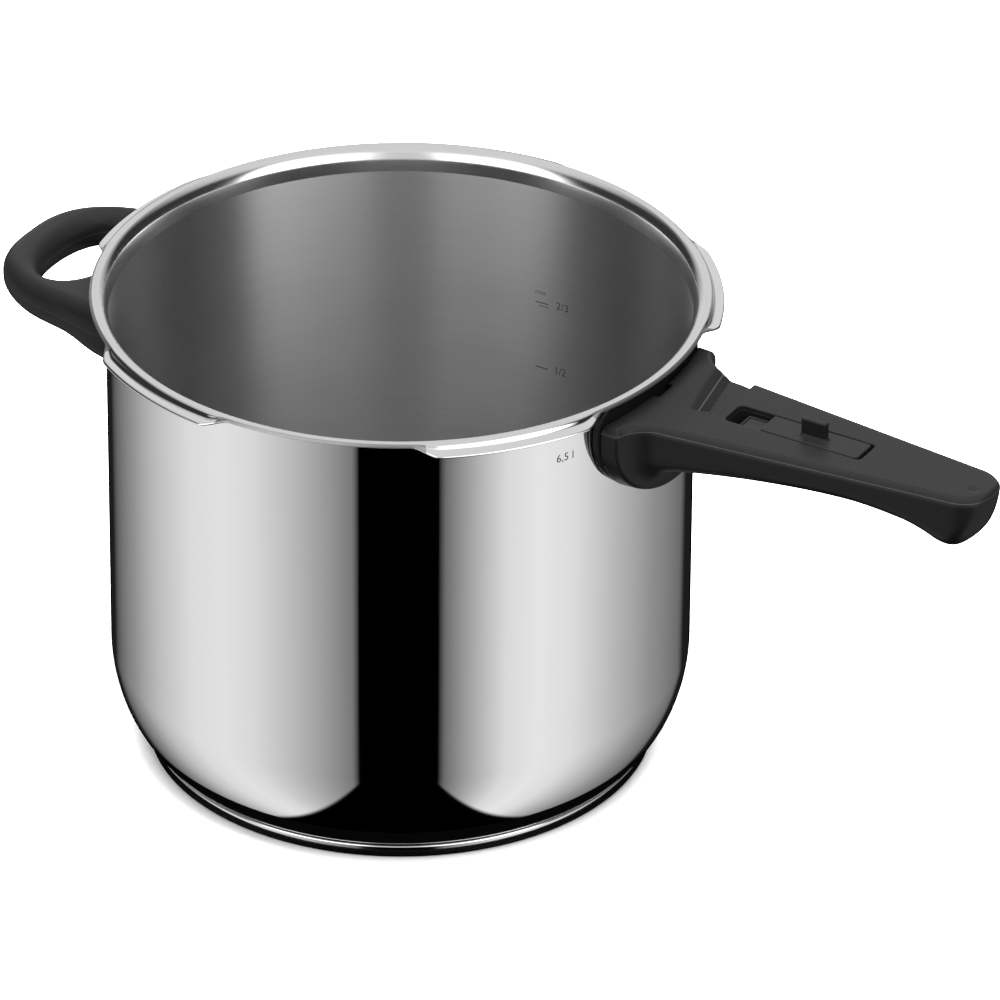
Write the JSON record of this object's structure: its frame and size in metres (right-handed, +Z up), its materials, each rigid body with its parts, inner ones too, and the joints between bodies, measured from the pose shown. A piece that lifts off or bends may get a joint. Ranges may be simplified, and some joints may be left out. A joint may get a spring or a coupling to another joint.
{
  "type": "stovetop pressure cooker pot",
  "caption": "Deep round steel pressure cooker pot with bayonet rim, thick capsule base, long black handle with locking slide, and a black side loop handle.",
  "frame": {"origin": "middle of the base's flat underside, on the surface the pot stands on", "axes": "+Z up, +X along the long handle, the side handle along -X"},
  "size_m": [0.4243, 0.2421, 0.1914],
  "materials": {
    "polished_steel": "mirror polished stainless steel outside, satin brushed inside",
    "plain_steel": "plain zinc-plated or stainless steel",
    "aluminium": "plain",
    "black_plastic": "fine-grained matte phenolic",
    "slide_plastic": "smooth matte moulded plastic"
  },
  "bodies": {
    "pot": {"pot_shell": "polished_steel", "base_capsule": "polished_steel", "base_core": "aluminium", "handle_collar": "black_plastic", "long_handle": "black_plastic", "long_bracket": "plain_steel", "long_bracket_nut": "plain_steel", "handle_screw": "plain_steel", "handle_washer": "plain_steel", "guide_block": "slide_plastic", "spring_pin": "plain_steel", "slide_spring": "plain_steel", "slide_keeper": "black_plastic", "keeper_screw_1": "plain_steel", "keeper_screw_2": "plain_steel", "side_handle": "black_plastic", "side_bracket": "plain_steel", "side_nut": "plain_steel", "side_screw": "plain_steel", "side_washer": "plain_steel"},
    "slide": {"locking_slide": "slide_plastic"}
  },
  "joints": [
    {"name": "slide_lock", "type": "slide", "parent": "pot", "child": "slide", "axis": [-1, 0, 0], "range_m": [0, 0.0135], "stiffness_N_per_m": 150, "springref_m": -0.005, "deforming": ["slide_spring"]}
  ]
}
